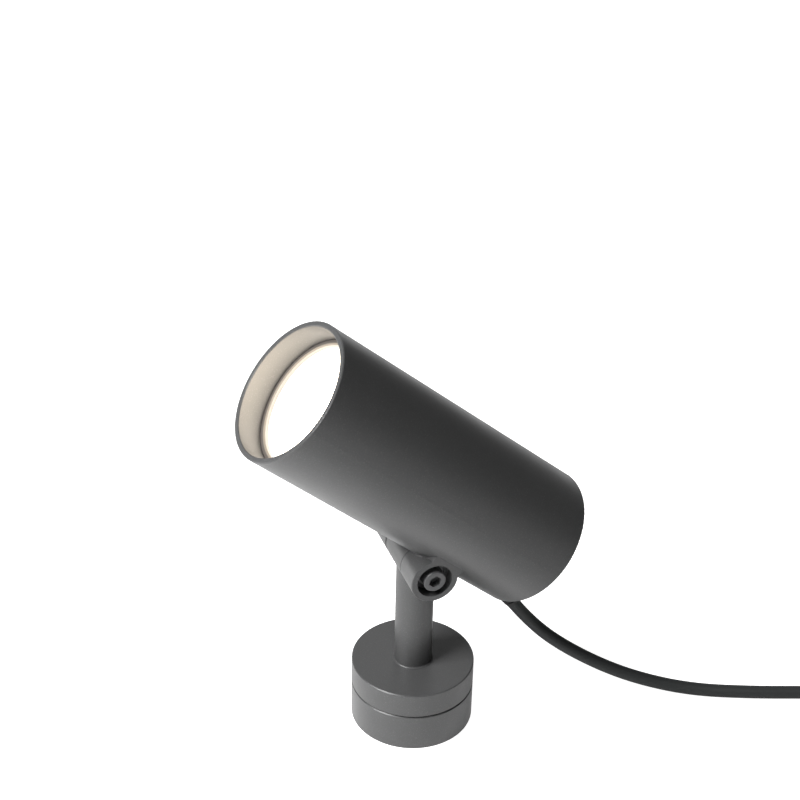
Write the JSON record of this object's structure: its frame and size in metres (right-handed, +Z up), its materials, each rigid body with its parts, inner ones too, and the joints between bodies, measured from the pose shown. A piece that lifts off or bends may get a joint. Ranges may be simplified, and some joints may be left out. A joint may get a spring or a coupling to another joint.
{
  "type": "outdoor ground spotlight",
  "caption": "Tubular outdoor spotlight, tilting on a hinge over a stem and a round swivel base, with its supply cord.",
  "frame": {"origin": "centre of the base's underside, on the floor", "axes": "+Z up along the stem, the beam leaves towards -Y, +X along the hinge screw towards its head"},
  "size_m": [0.113, 0.4009, 0.2088],
  "materials": {
    "coated_aluminium": "matte anthracite powder coat",
    "coated_steel": "matte anthracite powder coat",
    "steel": "satin stainless",
    "bare_aluminium": "mill finish",
    "pale_plastic": "pale beige, satin",
    "frosted_glass": "frosted",
    "seal_rubber": "matte black",
    "mirror_coat": "bright spun",
    "board": "white solder mask",
    "phosphor": "yellow phosphor",
    "dark_plastic": "fine matte",
    "capacitor_sleeve": "shrink sleeve",
    "lead_insulation": "silicone",
    "cord_rubber": "matte dark grey",
    "brass": "nickel-free brass"
  },
  "bodies": {
    "base": {"foot": "coated_steel", "thrust_washer": "dark_plastic", "spring_washer": "steel", "stop_pin": "steel", "bottom_cover": "dark_plastic", "foot_pad": "seal_rubber"},
    "column": {"stem": "coated_aluminium", "friction_washer": "dark_plastic", "swivel_disc": "coated_steel", "retaining_washer": "steel", "swivel_screw": "steel", "cord": "cord_rubber", "cord_coil": "cord_rubber", "cord_ties": "dark_plastic", "connector_body": "dark_plastic", "connector_nut": "dark_plastic", "connector_pins": "brass"},
    "head": {"head_tube": "coated_aluminium", "hinge_bracket": "coated_aluminium", "clamp_bridge": "bare_aluminium", "bridge_screws": "steel", "retaining_ring": "pale_plastic", "front_glass": "frosted_glass", "glass_gasket": "seal_rubber", "reflector": "mirror_coat", "led_board": "board", "led_chip": "phosphor", "board_screws": "steel", "heat_sink": "bare_aluminium", "driver_tray": "dark_plastic", "driver_board": "board", "driver_choke": "dark_plastic", "driver_capacitor": "capacitor_sleeve", "terminal_block": "dark_plastic", "led_leads": "lead_insulation", "supply_leads": "lead_insulation", "rear_cap": "coated_aluminium", "rear_o_ring": "seal_rubber", "rear_cap_screws": "steel", "gland_seal": "seal_rubber", "gland_nut": "dark_plastic", "cord_boot": "seal_rubber", "cord_inner": "cord_rubber", "tilt_screw": "steel", "tilt_washer": "steel", "tilt_nut": "steel"}
  },
  "joints": [
    {"name": "base_pan", "type": "hinge", "parent": "base", "child": "column", "pos_m": [0, 0, 0.0185], "axis": [0, 0, 1], "range_deg": [-165, 165]},
    {"name": "head_tilt", "type": "hinge", "parent": "column", "child": "head", "pos_m": [0, 0, 0.0909], "axis": [1, 0, 0], "range_deg": [-18.6, 56.4], "deforming": ["cord"]}
  ]
}
